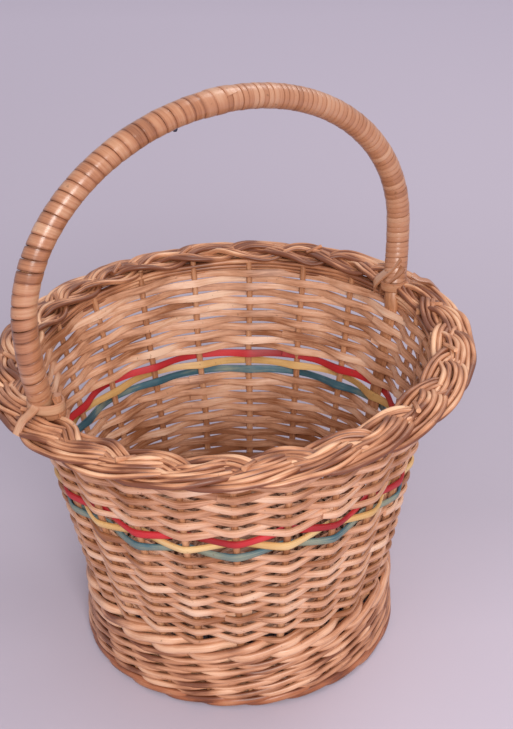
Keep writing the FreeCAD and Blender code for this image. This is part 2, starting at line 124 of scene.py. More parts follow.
def drift(rng, length, waves, size):
    """A smooth random wander along a rod, as a sum of a few waves: drift(...)(t) for t from 0 to length."""
    parts = []
    for _ in range(4):
        frequency = rng.uniform(0.3, 1) * waves
        start = rng.uniform(0, 2 * math.pi)
        height = rng.uniform(0.4, 1)
        parts.append((frequency, start, height))
    total = sum(height for _, _, height in parts)

    def wander(t):
        turn = 2 * math.pi * t / length
        waves_sum = sum(height * np.sin(frequency * turn + start) for frequency, start, height in parts)
        return size * waves_sum / total
    return wander


# ------------------------------------------------------------------ swept meshes
def unit(vectors):
    return vectors / np.maximum(np.linalg.norm(vectors, axis=1, keepdims=True), 1e-12)


def round_profile(corners):
    turn = 2 * math.pi * np.arange(corners) / corners
    return np.stack([np.cos(turn), np.sin(turn)], 1)


def split_profile():
    """Section of split willow: flat towards the basket's inside, slightly domed outside."""
    half_dome = [(1.0, 0.25), (0.84, 0.68), (0.52, 0.93), (0.0, 1.0)]
    dome = [(out, -aside) for out, aside in reversed(half_dome)] + half_dome
    flat = [(-0.9, 0.96), (-1.0, 0.4), (-1.0, -0.4), (-0.9, -0.96)]
    return np.array(dome + flat)


def skein_profile():
    """Flat section of wrapping skein with eased edges, almost as wide as its pitch."""
    top = [(0.45, -1.0), (0.86, -0.9), (1.0, -0.55), (1.0, 0.0), (1.0, 0.55), (0.86, 0.9), (0.45, 1.0)]
    return np.array(top + [(-1.0, 0.97), (-1.0, -0.97)])


def painted_crevice_shade(profile, axis, depth):
    """Painted shade on the corners of a section that lie against its neighbours, in the grooves between
    rods.
    """
    reach = np.abs(profile[:, axis])
    return -depth * np.clip((reach - 0.55) / 0.45, 0, 1)


def shades(along, profile, axis=1, depth=0.35):
    """Shade of every vertex of a rod, from the shade along it and the painted shade in the grooves beside
    it.
    """
    return (np.asarray(along)[:, None] + painted_crevice_shade(profile, axis, depth)[None, :]).ravel()


def sweep(centres, outward, profile, thick, wide, closed=False, roll=0.0):
    """Vertices, faces and fibre coordinates of one rod.

    outward is each section's rough outside direction. thick and wide are half sizes, numbers or one
    per section. roll turns a section about the rod's line.
    """
    count = len(centres)
    if closed:
        tangent = unit(np.roll(centres, -1, 0) - np.roll(centres, 1, 0))
    else:
        tangent = unit(np.gradient(centres, axis=0))
    side = unit(outward - tangent * np.sum(outward * tangent, 1, keepdims=True))
    up = np.cross(tangent, side)
    roll = np.broadcast_to(roll, count)[:, None]
    side, up = side * np.cos(roll) + up * np.sin(roll), up * np.cos(roll) - side * np.sin(roll)
    thick = np.broadcast_to(thick, count)[:, None, None]
    wide = np.broadcast_to(wide, count)[:, None, None]
    corners = len(profile)
    across = profile[None, :, 0:1] * thick * side[:, None, :]
    along = profile[None, :, 1:2] * wide * up[:, None, :]
    verts = (centres[:, None, :] + across + along).reshape(-1, 3)
    step = np.linalg.norm(np.diff(centres, axis=0, append=centres[:1]), axis=1)
    length = np.concatenate([[0], np.cumsum(step)])
    rings = count if closed else count - 1
    ring = np.repeat(np.arange(rings), corners)
    spot = np.tile(np.arange(corners), rings)
    next_ring = (ring + 1) % count
    next_spot = (spot + 1) % corners
    faces = np.stack([ring * corners + spot, next_ring * corners + spot,
                      next_ring * corners + next_spot, ring * corners + next_spot], 1)
    u = np.stack([length[ring], length[ring + 1], length[ring + 1], length[ring]], 1)
    v = np.stack([spot, spot, spot + 1, spot + 1], 1) / corners
    uvs = np.stack([u, v], 2)
    caps = []
    if not closed:
        caps = [list(range(corners))[::-1], list(range((count - 1) * corners, count * corners))]
    return verts, faces, uvs, caps


def build(name, rods, material, replaced, sharp=50.0):
    """One Blender piece from swept rods: rods is [(sweep result, shade from 0 to 1)]."""
    verts, quads, uvs, caps, tones = [], [], [], [], []
    base = 0
    for (rod_verts, rod_faces, rod_uvs, rod_caps), tone in rods:
        verts.append(rod_verts)
        quads.append(rod_faces + base)
        uvs.append(rod_uvs.reshape(-1, 2))
        caps += [[corner + base for corner in cap] for cap in rod_caps]
        tones.append(np.broadcast_to(tone, len(rod_verts)))
        base += len(rod_verts)
    verts = np.concatenate(verts)
    quads = np.concatenate(quads)
    mesh = bpy.data.meshes.new(name)
    mesh.from_pydata(verts.tolist(), [], quads.tolist() + caps)
    cap_corners = sum(len(cap) for cap in caps)
    cap_uvs = np.full((cap_corners, 2), 0.37)
    fibre = mesh.uv_layers.new(name="fibre")
    fibre.data.foreach_set("uv", np.concatenate(uvs + [cap_uvs]).astype(np.float32).ravel())
    # The shade attribute holds each rod's tone together with the painted shade in its grooves and, on the
    # weavers, inside the low rows.
    shade = mesh.attributes.new("shade", "FLOAT", "POINT")
    shade.data.foreach_set("value", np.concatenate(tones).astype(np.float32))
    mesh.validate()
    mesh.shade_smooth()
    mesh.set_sharp_from_angle(angle=math.radians(sharp))
    piece = bpy.data.objects.new(name, mesh)
    bpy.context.scene.collection.objects.link(piece)
    piece.data.materials.append(material)
    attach(piece, "root")
    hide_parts(*replaced)


# ------------------------------------------------------------------ materials
DIRT = (0.16, 0.07, 0.03)
# Streaks are short across a rod and long along it: repeats per metre of length and once round.
STREAK_REPEATS = (60.0, 14.0, 1.0)


def noise(tree, vector, scale, detail, roughness=0.5):
    """The output of a noise texture on a vector."""
    texture = tree.nodes.new("ShaderNodeTexNoise")
    texture.inputs["Scale"].default_value = scale
    texture.inputs["Detail"].default_value = detail
    texture.inputs["Roughness"].default_value = roughness
    tree.links.new(vector, texture.inputs["Vector"])
    return texture.outputs["Fac"]


def ramp_through(tree, value, stops):
    """The colour of a value on a ramp through stops (position, colour)."""
    ramp = tree.nodes.new("ShaderNodeValToRGB")
    elements = ramp.color_ramp.elements
    elements.remove(elements[1])
    for number, (position, colour) in enumerate(stops):
        element = elements.new(position) if number else elements[0]
        element.position = position
        element.color = (*colour, 1)
    tree.links.new(value, ramp.inputs["Fac"])
    return ramp.outputs["Color"]


def add_scaled(tree, value, factor, total):
    """total + value * factor."""
    node = tree.nodes.new("ShaderNodeMath")
    node.operation = "MULTIPLY_ADD"
    tree.links.new(value, node.inputs[0])
    node.inputs[1].default_value = factor
    tree.links.new(total, node.inputs[2])
    return node.outputs["Value"]


def willow(name, dark, middle, light, roughness=0.42, coat=0.12, streak=1.3, blotch=0.9):
    """Willow with fibre streaks along the rod, slow changes of tone, dark specks and a fine raised grain,
    over the tone and painted shade of the shade attribute.
    """
    material = bpy.data.materials.new(name)
    material.use_nodes = True
    tree = material.node_tree
    shader = tree.nodes["Principled BSDF"]
    shader.inputs["Roughness"].default_value = roughness
    shader.inputs["Coat Weight"].default_value = coat
    shader.inputs["Coat Roughness"].default_value = 0.32

    fibre = tree.nodes.new("ShaderNodeUVMap")
    fibre.uv_map = "fibre"
    stretch = tree.nodes.new("ShaderNodeMapping")
    stretch.inputs["Scale"].default_value = STREAK_REPEATS
    tree.links.new(fibre.outputs["UV"], stretch.inputs["Vector"])
    place = tree.nodes.new("ShaderNodeTexCoord").outputs["Object"]
    shade = tree.nodes.new("ShaderNodeAttribute")
    shade.attribute_name = "shade"
    streaks = noise(tree, stretch.outputs["Vector"], 1.0, 5.0, 0.65)
    blotches = noise(tree, place, 55.0, 3.0)
    specks = noise(tree, place, 420.0, 2.0)

    tone = add_scaled(tree, streaks, streak, shade.outputs["Fac"])
    tone = add_scaled(tree, blotches, blotch, tone)
    centred = tree.nodes.new("ShaderNodeMath")
    centred.operation = "SUBTRACT"
    centred.inputs[1].default_value = (streak + blotch) / 2
    tree.links.new(tone, centred.inputs[0])
    colour = ramp_through(tree, centred.outputs["Value"], [(0.05, dark), (0.5, middle), (0.95, light)])

    dirty = tree.nodes.new("ShaderNodeMix")
    dirty.data_type = "RGBA"
    dirt_share = ramp_through(tree, specks, [(0.68, (0, 0, 0)), (0.76, (0.55, 0.55, 0.55))])
    tree.links.new(dirt_share, dirty.inputs["Factor"])
    tree.links.new(colour, dirty.inputs["A"])
    dirty.inputs["B"].default_value = (*DIRT, 1)
    tree.links.new(dirty.outputs["Result"], shader.inputs["Base Color"])

    relief = tree.nodes.new("ShaderNodeBump")
    relief.inputs["Strength"].default_value = 0.35
    relief.inputs["Distance"].default_value = 0.3 * MM
    tree.links.new(streaks, relief.inputs["Height"])
    tree.links.new(relief.outputs["Normal"], shader.inputs["Normal"])
    return material


WEAVER = willow(
    "peeled_split_willow", roughness=0.50, coat=0.1,
    dark=(0.28, 0.10, 0.038), middle=(0.61, 0.31, 0.18), light=(0.80, 0.53, 0.37),
)
STAKE = willow(
    "buff_willow_rod", roughness=0.45,
    dark=(0.22, 0.075, 0.028), middle=(0.45, 0.195, 0.09), light=(0.64, 0.35, 0.20),
)
RIM = willow(
    "rim_willow", roughness=0.46,
    dark=(0.17, 0.05, 0.02), middle=(0.50, 0.21, 0.10), light=(0.76, 0.44, 0.26),
)
FOOT = willow(
    "foot_willow", roughness=0.44,
    dark=(0.16, 0.045, 0.017), middle=(0.51, 0.225, 0.115), light=(0.74, 0.43, 0.27),
)
BORDER = willow(
    "border_willow", roughness=0.42,
    dark=(0.14, 0.035, 0.012), middle=(0.36, 0.115, 0.045), light=(0.54, 0.24, 0.12),
)
SKEIN = willow(
    "wrapping_skein", roughness=0.30, coat=0.3, streak=0.9, blotch=0.7,
    dark=(0.17, 0.055, 0.022), middle=(0.40, 0.165, 0.08), light=(0.57, 0.32, 0.19),
)
FINE_SKEIN = willow(
    "fine_skein", roughness=0.34, coat=0.25, streak=0.6, blotch=0.5,
    dark=(0.24, 0.085, 0.035), middle=(0.43, 0.19, 0.10), light=(0.56, 0.32, 0.20),
)
BASE = willow(
    "base_willow", roughness=0.5,
    dark=(0.20, 0.09, 0.05), middle=(0.38, 0.20, 0.12), light=(0.52, 0.32, 0.21),
)
RED = willow(
    "red_dyed_willow", roughness=0.55, coat=0.05, streak=0.6, blotch=0.4,
    dark=(0.30, 0.008, 0.012), middle=(0.52, 0.018, 0.024), light=(0.62, 0.05, 0.055),
)
YELLOW = willow(
    "yellow_dyed_willow", roughness=0.50, coat=0.1, streak=0.9, blotch=0.6,
    dark=(0.46, 0.24, 0.07), middle=(0.64, 0.38, 0.14), light=(0.80, 0.56, 0.28),
)
TEAL = willow(
    "teal_dyed_willow", roughness=0.50, coat=0.05, streak=1.1, blotch=1.1,
    dark=(0.012, 0.055, 0.08), middle=(0.045, 0.12, 0.155), light=(0.24, 0.26, 0.19),
)


# ------------------------------------------------------------------ wall weavers
DYED = dict(zip(DYED_ROWS, [
    ("weaver_teal", TEAL, "teal_weaver"),
    ("weaver_yellow", YELLOW, "yellow_weaver"),
    ("weaver_red", RED, "red_weaver"),
]))
STEPS_PER_GAP = 14
WEAVER_SLACK = 0.30 * MM
WEAVER_OVERLAP = 0.6
START_SHIFT = 7
TUCK_IN = 1.9 * MM
TUCK_UP = 0.9 * MM
SAG = 0.22 * MM
# The rows low in the basket have painted shade inside, darkest at the waist where the wall shades them, and
# the dyes have faded outside.
INSIDE_PAINTED_SHADE = 0.55
INSIDE_PAINTED_SHADE_ROWS = 17
FADED = {18: 0.38, 19: 0.25}


def taut_wave(phase):
    """A wave with straight flanks and round tops: a stiff strip bends sharply only at the stakes."""
    return np.arcsin(0.97 * np.cos(phase)) / math.asin(0.97)


def make_weaver(row):
    """One split weaver with its end tucked inside, slightly leaning like a shingle between stakes."""
    rng = random.Random(100 + row)
    swing = STAKE_RADIUS + WEAVER_THICKNESS / 2 + WEAVER_SLACK
    start = ((row - 1) * START_SHIFT + 1) % STATIONS + row % 2 - WEAVER_OVERLAP / 2
    laps = STATIONS + WEAVER_OVERLAP
    t = np.linspace(0, laps, int(laps * STEPS_PER_GAP))
    station = start + t
    phase = math.pi * (station - row + 1)
    over = -taut_wave(phase)
    tuck = np.clip((t - (laps - 1.0)) / 0.7, 0, 1)
    outwards = swing * over * (1 - 0.5 * tuck) - TUCK_IN * tuck
    outwards = outwards + drift(rng, laps, 30, 0.22 * MM)(t)
    sag = SAG * (np.cos(phase) ** 2 - 0.5)
    level = row_level(row) - sag + drift(rng, laps, 13, 0.5 * MM)(t) + TUCK_UP * tuck
    angle = station_angle(station)
    centres = wall_points(level, angle, outwards)
    ahead = wall_points(level, angle, outwards + MM)
    pressed = 1 - 0.13 * (1 - over ** 2)
    width = WEAVER_WIDTH / 2 * pressed * (1 + drift(rng, laps, 16, 0.14)(t))
    roll = 0.10 + drift(rng, laps, 18, 0.18)(t)
    profile = split_profile()
    rod = sweep(centres, ahead - centres, profile, WEAVER_THICKNESS / 2, width, roll=roll)
    tone = 0.54 + drift(rng, laps, 12, 0.42)(t) + rng.uniform(-0.2, 0.14)
    shade = shades(tone, profile, 1, 0.16).reshape(len(t), -1)
    inside = profile[:, 0] < -0.5
    # Painted shade on the inside of the low rows; the outside of the dyed rows is paler where the dye has
    # faded.
    shade[:, inside] -= INSIDE_PAINTED_SHADE * max(1 - row / INSIDE_PAINTED_SHADE_ROWS, 0)
    shade[:, ~inside] += FADED.get(row, 0)
    name, material, slot = DYED.get(row, ("weaver_row_%02d" % row, WEAVER, "weavers"))
    build("willow_" + name, [(rod, shade.ravel())], material, [name], 40.0)


for row_number in range(1, ROW_COUNT + 1):
    make_weaver(row_number)


# ------------------------------------------------------------------ side stakes
STAKE_STEPS = 40
STAKE_TAPER = 0.35 * MM
STAKE_WANDER = 0.7 * MM


def stake_rod(station):
    """A round stake that tapers to the rim and wanders a little off its straight line."""
    rng = random.Random(300 + station)
    level = np.linspace(WAIST_LEVEL - 1 * MM, RIM_LEVEL, STAKE_STEPS)
    share = (level - WAIST_LEVEL) / (RIM_LEVEL - WAIST_LEVEL)
    angle = station_angle(station) + drift(rng, 1, 2.5, STAKE_WANDER / WAIST_RADIUS)(share)
    centres = wall_points(level, angle, 0 * level)
    radius = (STAKE_RADIUS * 1.05 - STAKE_TAPER * share) * (1 + drift(rng, 1, 6, 0.05)(share))
    outward = ring_points(np.ones(STAKE_STEPS), np.zeros(STAKE_STEPS), angle)
    profile = round_profile(12)
    rod = sweep(centres, outward, profile, radius, radius * 1.08)
    tone = 0.45 + drift(rng, 1, 3, 0.25)(share) + rng.uniform(-0.2, 0.2)
    return rod, np.repeat(tone, len(profile))


def make_stakes():
    """Stakes at every station but the two that the hoop's legs take."""
    halves = {"side_stakes_back": range(1, BACK_GAPS), "side_stakes_front": range(BACK_GAPS + 1, STATIONS)}
    for name, stations in halves.items():
        build("willow_" + name, [stake_rod(station) for station in stations], STAKE, [name])


make_stakes()


# ------------------------------------------------------------------ plaited rim
RODS_PER_STRAND = 5
PLAIT_ROD = 1.38 * MM
ROD_SPACING = 1.98 * PLAIT_ROD
PLAIT_SWING = 5.9 * MM
PLAIT_RISE = 2.5 * MM
PLAIT_CROWN = 0.8 * MM
PLAIT_SHARPNESS = 1.1
PLAIT_SKEW = 0.28
OUTER_ROUNDING = 1.2 * MM
INNER_ROUNDING = 2.2 * MM
OUTWARD_TILT = 0.22
TIGHT_PLACE = -0.45
TIGHT_WIDTH = 0.6
TIGHT_SHARE = 0.22
TIGHT_SHIFT = 0.8 * MM
LINING_ROD = 1.5 * MM
# Radius and depth under the rim's middle of each lining rod, in mm, by strand.
LINING = [[(103.6, 3.4), (107.0, 4.2)], [(104.2, 5.9), (111.5, 4.0)], [(105.0, 8.2), (117.0, 3.6)]]


def tightness(turn):
    """How tightly the strands are pulled together: most of all on one side of the rim."""
    away = np.mod(turn - TIGHT_PLACE + math.pi, 2 * math.pi) - math.pi
    return np.exp(-(away / TIGHT_WIDTH) ** 2)


def plait_line(turn, shift):
    """The middle of one strand: it swings from edge to edge, over one strand and under the next."""
    phase = PLAIT_WAVES * turn + shift
    phase = phase + PLAIT_SKEW * np.cos(phase)
    swing = np.tanh(PLAIT_SHARPNESS * np.sin(phase)) / math.tanh(PLAIT_SHARPNESS)
    tight = tightness(turn)
    radius = PLAIT_RADIUS + PLAIT_SWING * swing * (1 - TIGHT_SHARE * tight) + TIGHT_SHIFT * tight
    crossing = PLAIT_RISE * np.sin(2 * phase) * (1 - 0.5 * np.abs(np.sin(phase)))
    rounding = OUTER_ROUNDING * np.maximum(swing, 0) + INNER_ROUNDING * np.maximum(-swing, 0)
    height = RIM_LEVEL + PLAIT_CROWN + rim_lift(turn) - crossing - rounding
    return ring_points(radius, height, turn)


def whole_waves(rng, count, fewest, most):
    """Random whole numbers of waves round the rim, each with its start, so that a rod closes on itself."""
    return [(rng.randint(fewest, most), rng.uniform(0, 2 * math.pi)) for _ in range(count)]


def plait_rods(strand):
    """The rods of one strand, side by side, each wandering a little by itself."""
    turn = np.linspace(0, 2 * math.pi, PLAIT_WAVES * 48, endpoint=False)
    middle = plait_line(turn, 2 * math.pi * strand / 3)
    tangent = unit(np.roll(middle, -1, 0) - np.roll(middle, 1, 0))
    up = ring_points(np.full(len(turn), OUTWARD_TILT), np.ones(len(turn)), turn)
    side = unit(np.cross(tangent, up))
    face = unit(np.cross(side, tangent))
    profile = round_profile(12)
    rods = []
    for number in range(RODS_PER_STRAND):
        rng = random.Random(500 + strand * 10 + number)
        place = (number - (RODS_PER_STRAND - 1) / 2) * ROD_SPACING
        waves = whole_waves(rng, 6, 6, 34)
        aside = sum(np.sin(wave * turn + start) for wave, start in waves) / 4
        lift = sum(np.cos(wave * turn - 2 * start) for wave, start in waves) / 4
        arched = 0.5 * MM * (1 - (2 * place / (RODS_PER_STRAND * PLAIT_ROD)) ** 2 / 3)
        centres = middle + side * (place + 0.55 * MM * aside)[:, None]
        centres = centres + face * (0.7 * MM * lift + arched)[:, None]
        radius = PLAIT_ROD * rng.uniform(0.92, 1.16) * (1 + 0.12 * lift)
        rod = sweep(centres, side, profile, radius * 1.02, radius * 0.96, closed=True)
        tone = 0.5 + 0.42 * aside + rng.uniform(-0.26, 0.26)
        rods.append((rod, shades(tone, profile, 0, 0.52)))
    return rods


def lining_rods(strand):
    """Long rods under the plait's edges, where the stakes' ends lie along the rim."""
    steps = 300
    turn = np.linspace(0, 2 * math.pi, steps, endpoint=False)
    outward = ring_points(np.ones(steps), np.zeros(steps), turn)
    profile = round_profile(10)
    rods = []
    for number, (radius, drop) in enumerate(LINING[strand]):
        rng = random.Random(540 + strand * 10 + number)
        wander = sum(np.sin(wave * turn + start) for wave, start in whole_waves(rng, 5, 3, 17)) / 4
        height = RIM_LEVEL + rim_lift(turn) - drop * MM + 0.6 * MM * wander
        centres = ring_points(radius * MM + 0.5 * MM * wander, height, turn)
        size = LINING_ROD * (1 + 0.12 * wander)
        rod = sweep(centres, outward, profile, size, size, closed=True)
        rods.append((rod, shades(0.42 + 0.4 * wander, profile, 1, 0.4)))
    return rods


def plait_stubs(strand):
    """Cut ends of stakes that stick out of the plait near its middle."""
    rng = random.Random(560 + strand)
    profile = round_profile(10)
    tone = np.array([0.3, 0.45, 0.5, 0.55, 0.6, 0.7])
    stubs = []
    for leaf in range(PLAIT_WAVES):
        turn = 2 * math.pi * (leaf + strand / 3 + rng.uniform(-0.1, 0.1)) / PLAIT_WAVES
        left_out = rng.random() < 0.35
        if left_out:
            continue
        reach = np.linspace(0, rng.uniform(8, 11) * MM, len(tone))
        slant = rng.uniform(0.5, 1.0)
        angle = turn - reach * math.cos(slant) / PLAIT_RADIUS
        radius = PLAIT_RADIUS - 3.5 * MM + reach * math.sin(slant)
        height = RIM_LEVEL + rim_lift(turn) + 2.0 * MM + reach * 0.16
        centres = ring_points(radius, height, angle)
        size = rng.uniform(1.05, 1.35) * MM
        rod = sweep(centres, np.tile([[0.0, 0.0, 1.0]], (len(tone), 1)), profile, size, size)
        stubs.append((rod, shades(tone, profile, 0, 0.15)))
    return stubs


def make_plait():
    for strand in range(3):
        name = "plait_strand_%d" % (strand + 1)
        rods = plait_rods(strand) + lining_rods(strand) + plait_stubs(strand)
        build("willow_" + name, rods, RIM, [name])


make_plait()


# ------------------------------------------------------------------ hoop handle
def leg_station(side):
    """The station of the hoop's leg near +X (side 1) or -X (side -1)."""
    return 0 if side > 0 else BACK_GAPS


def leg_top(side):
    angle = station_angle([leg_station(side)])
    return wall_points(np.array([TIP_LEVEL]), angle, np.array([0.0]))[0]


LEG_TOPS = {side: leg_top(side) for side in (-1, 1)}
LEAN_SLOPE = HOOP_LEAN / (HOOP_SPRING + HOOP_RISE - RIM_LEVEL)
# Share of each half of the hoop that goes down to the wall, below the round top.
STRAIGHT = 0.16


def hoop_points(share):
    """The middle line of the hoop's round rod, from 0 at -X to 1 at +X."""
    points = []
    for value in np.atleast_1d(share):
        side = 1 if value > 0.5 else -1
        turn = (value - 0.5) * 2
        top = LEG_TOPS[side]
        if abs(turn) > 1 - STRAIGHT:
            down = (abs(turn) - (1 - STRAIGHT)) / STRAIGHT
            height = HOOP_SPRING + (top[2] - HOOP_SPRING) * down
            across = side * (HOOP_HALF + (abs(top[0]) - HOOP_HALF) * down ** 2)
            aside = top[1] * down ** 2
        else:
            angle = math.pi / 2 * turn / (1 - STRAIGHT)
            across = HOOP_HALF * math.sin(angle)
            height = HOOP_SPRING + HOOP_RISE * math.cos(angle)
            aside = 0.0
        points.append((across, aside + LEAN_SLOPE * max(height - RIM_LEVEL, 0), height))
    return np.array(points)


HOOP_SHARES = np.linspace(0, 1, 1201)
HOOP_LINE = hoop_points(HOOP_SHARES)
HOOP_RUN = np.concatenate([[0], np.cumsum(np.linalg.norm(np.diff(HOOP_LINE, axis=0), axis=1))])
HOOP_LENGTH = HOOP_RUN[-1]
HOOP_STEPS = 120
LEG_STEPS = 30
LEG_HALF_THICKNESS = 1.7 * MM
LEG_HALF_WIDTH = 4.8 * MM
FLAT_TOP_LEVEL = RIM_LEVEL - 12.5 * MM


def hoop_at(run):
    """Points on the hoop's middle line at distances along it, and two directions square to the line."""
    point, ahead, behind = (
        np.stack([np.interp(run + step, HOOP_RUN, HOOP_LINE[:, axis]) for axis in range(3)], 1)
        for step in (0, 0.5 * MM, -0.5 * MM)
    )
    tangent = unit(ahead - behind)
    level = unit(np.cross(tangent, np.array([[0.0, 1.0, 0.0]])))
    other = np.cross(tangent, level)
    return point, level, other


def hoop_leg(side):
    """Points and outside directions of the flat end of the hoop's rod that is woven into the wall."""
    levels = np.linspace(WAIST_LEVEL, FLAT_TOP_LEVEL, LEG_STEPS)
    angle = np.full(LEG_STEPS, float(station_angle(leg_station(side))))
    centres = wall_points(levels, angle, 0 * levels)
    outward = wall_points(levels, angle, 0 * levels + MM) - centres
    return centres, outward


def make_hoop_rod():
    """The rod inside the wrapping: round between its two flat ends."""
    point, _, _ = hoop_at(np.linspace(0, HOOP_LENGTH, HOOP_STEPS))
    near_leg, near_outward = hoop_leg(-1)
    far_leg, far_outward = hoop_leg(1)
    outward = unit(point - np.array([[0, 0, HOOP_SPRING - 0.04]]))
    round_part = np.full(HOOP_STEPS, HOOP_CORE)
    thick_leg = np.full(LEG_STEPS, LEG_HALF_THICKNESS)
    wide_leg = np.full(LEG_STEPS, LEG_HALF_WIDTH)
    rod = sweep(
        np.concatenate([near_leg, point, far_leg[::-1]]),
        np.concatenate([near_outward, outward, far_outward[::-1]]),
        round_profile(18),
        np.concatenate([thick_leg, round_part, thick_leg]),
        np.concatenate([wide_leg, round_part, wide_leg]),
    )
    build("willow_hoop_rod", [(rod, 0.45)], STAKE, ["hoop_rod"])


def wrap_turns(begin, end, pitch, width, thickness, seed, painted_groove_shade):
    """A skein wound side by side round the hoop, from distance begin to end along it, with painted shade in
    the grooves between turns.
    """
    rng = random.Random(seed)
    turns = (end - begin) / pitch
    t = np.linspace(0, turns, int(turns * 26))
    run = begin + pitch * t
    run = run + drift(rng, turns, turns * 0.45, pitch * 0.07)(t)
    point, level, other = hoop_at(run)
    angle = 2 * math.pi * t
    out = level * np.cos(angle)[:, None] + other * np.sin(angle)[:, None]
    reach = HOOP_CORE + thickness * 0.5 + drift(rng, turns, turns * 0.4, 0.12 * MM)(t)
    centres = point + out * reach[:, None]
    wide = width / 2 * (1 + drift(rng, turns, turns * 0.5, 0.07)(t))
    roll = drift(rng, turns, turns * 0.6, 0.05)(t)
    rod = sweep(centres, out, skein_profile(), thickness / 2, wide, roll=roll)
    shade = 0.55 + drift(rng, turns, turns * 0.5, 0.25)(t) + drift(rng, turns, 6, 0.15)(t)
    return rod, shades(shade, skein_profile(), 1, painted_groove_shade)


def ribbon(points, outward, width, thickness, shade, steps=40):
    """A short flat skein through a few chosen points."""
    points = np.array(points, float)
    outward = np.array(outward, float)
    knots = np.linspace(0, 1, len(points))
    t = np.linspace(0, 1, steps)
    centres = np.stack([catmull(knots, points[:, axis], t) for axis in range(3)], 1)
    facing = np.stack([catmull(knots, outward[:, axis], t) for axis in range(3)], 1)
    rod = sweep(centres, facing, skein_profile(), thickness / 2, width / 2)
    return rod, shades(np.full(steps, shade), skein_profile(), 1, 0.3)


def catmull(knots, values, t):
    """A smooth curve through values at evenly spaced knots."""
    padded = np.concatenate([[2 * values[0] - values[1]], values, [2 * values[-1] - values[-2]]])
    place = np.clip(t / (knots[1] - knots[0]), 0, len(values) - 1 - 1e-9)
    index = place.astype(int)
    f = place - index
    a, b, c, d = (padded[index + k] for k in range(4))
    square = (2 * a - 5 * b + 4 * c - d) * f ** 2
    cube = (3 * b - a - 3 * c + d) * f ** 3
    return 0.5 * (2 * b + (c - a) * f + square + cube)


WRAP_START = 9 * MM


def make_wraps():
    """Broad skein from the near foot to the top, and fine skein from there to the far foot."""
    middle = HOOP_LENGTH / 2
    near = wrap_turns(WRAP_START, middle - 4 * MM, 5.5 * MM, 5.6 * MM, 1.5 * MM, 700, 0.36)
    build("willow_hoop_wrap_near", [near], SKEIN, ["hoop_wrap_near"], 35.0)
    joint = wrap_turns(middle - 5 * MM, middle + 9 * MM, 6.5 * MM, 6.8 * MM, 1.9 * MM, 701, 0.3)
    far = wrap_turns(middle + 7 * MM, HOOP_LENGTH - WRAP_START, 3.0 * MM, 3.1 * MM, 1.6 * MM, 702, 0.22)
    build("willow_hoop_wrap_far", [joint, far], FINE_SKEIN, ["hoop_wrap_far"], 35.0)


make_hoop_rod()
make_wraps()


def along_ring(centre, inwards, aside, height):
    """A place beside a foot of the hoop: inwards to the axis, aside round the rim, height over the plait."""
    radius = PLAIT_RADIUS - inwards
    turn = centre + aside / PLAIT_RADIUS
    level = RIM_LEVEL + float(rim_lift(turn)) + height
    return np.array([radius * math.cos(turn), radius * math.sin(turn), level])


def skein_over(centre, stops, width, shade):
    """Skein through stops (inwards, aside, height, in mm), facing away from the plait's middle."""
    points = [along_ring(centre, *(np.array(stop) * MM)) for stop in stops]
    out_of_ring = np.array([-math.cos(centre), -math.sin(centre), 0])
    round_ring = np.array([-math.sin(centre), math.cos(centre), 0])
    outward = [
        out_of_ring * inwards * 0.6 + round_ring * aside * 0.25 + np.array([0, 0, max(height, 2.0)])
        for inwards, aside, height in stops
    ]
    return ribbon(points, outward, width * MM, 1.1 * MM, shade)


def skein_loop(run, direction, length, breadth, width, shade):
    """A flat band round the hoop, at a distance along it, and round what stands beside it."""
    turn = np.linspace(0, 2 * math.pi, 56, endpoint=False)
    forward = np.array([math.cos(direction), math.sin(direction), 0])
    aside = np.array([-math.sin(direction), math.cos(direction), 0])
    out = np.outer(np.cos(turn), forward) * breadth / length + np.outer(np.sin(turn), aside)
    ring = hoop_at(np.array([run]))[0][0] + forward * (length - breadth)
    ring = ring + np.outer(np.cos(turn) * length, forward) + np.outer(np.sin(turn) * breadth, aside)
    rod = sweep(ring, out, skein_profile(), 0.6 * MM, width / 2, closed=True)
    return rod, shades(np.full(56, shade), skein_profile(), 1, 0.3)


NEAR_TIE_SIDE = math.radians(-52)
FAR_TIE_SIDE = math.radians(200)
POST_DISTANCE = 8.0 * MM
POST_RADIUS = 2.1 * MM
# Skeins over the plait: the stops of each (inwards, aside, height, in mm), its width in mm and its shade.
NEAR_SKEINS = [
    ([(9, 10.5, 12), (10.5, 11.5, 7), (11, 12, 2.5), (11, 12, -3)], 4.6, 0.72),
    ([(3, 6.5, 11), (0, 8, 7.5), (-4, 9.5, 6.2), (-8.5, 10.5, 4.5), (-12.5, 11, -1)], 4.6, 0.78),
]
FAR_SKEINS = [
    ([(4.5, 1, 17), (8, 3.5, 11.5), (11.5, 7.5, 6.5), (13.5, 12, 1), (12, 14.5, -4)], 6.4, 0.8),
    ([(5, -2.5, 13), (8, -1.5, 9), (11, 2, 5), (13, 6, 1), (12, 9, -4)], 4.8, 0.55),
    ([(1, -6, 9), (-2, -9, 6.6), (-7, -11, 5), (-12.5, -12, -1)], 4.4, 0.5),
]


def tie_post():
    """The end of a stake that stands beside the hoop's near foot, inside the same band."""
    steps = 8
    forward = np.array([math.cos(NEAR_TIE_SIDE), math.sin(NEAR_TIE_SIDE), 0])
    foot = hoop_at(np.array([11 * MM]))[0][0] + forward * POST_DISTANCE
    post = foot + np.outer(np.linspace(-9, 6.5, steps) * MM, [0.0, 0.0, 1.0])
    rod = sweep(post, np.tile(forward, (steps, 1)), round_profile(12), POST_RADIUS, POST_RADIUS)
    return rod, np.repeat(np.linspace(0.2, 0.6, steps), 12)


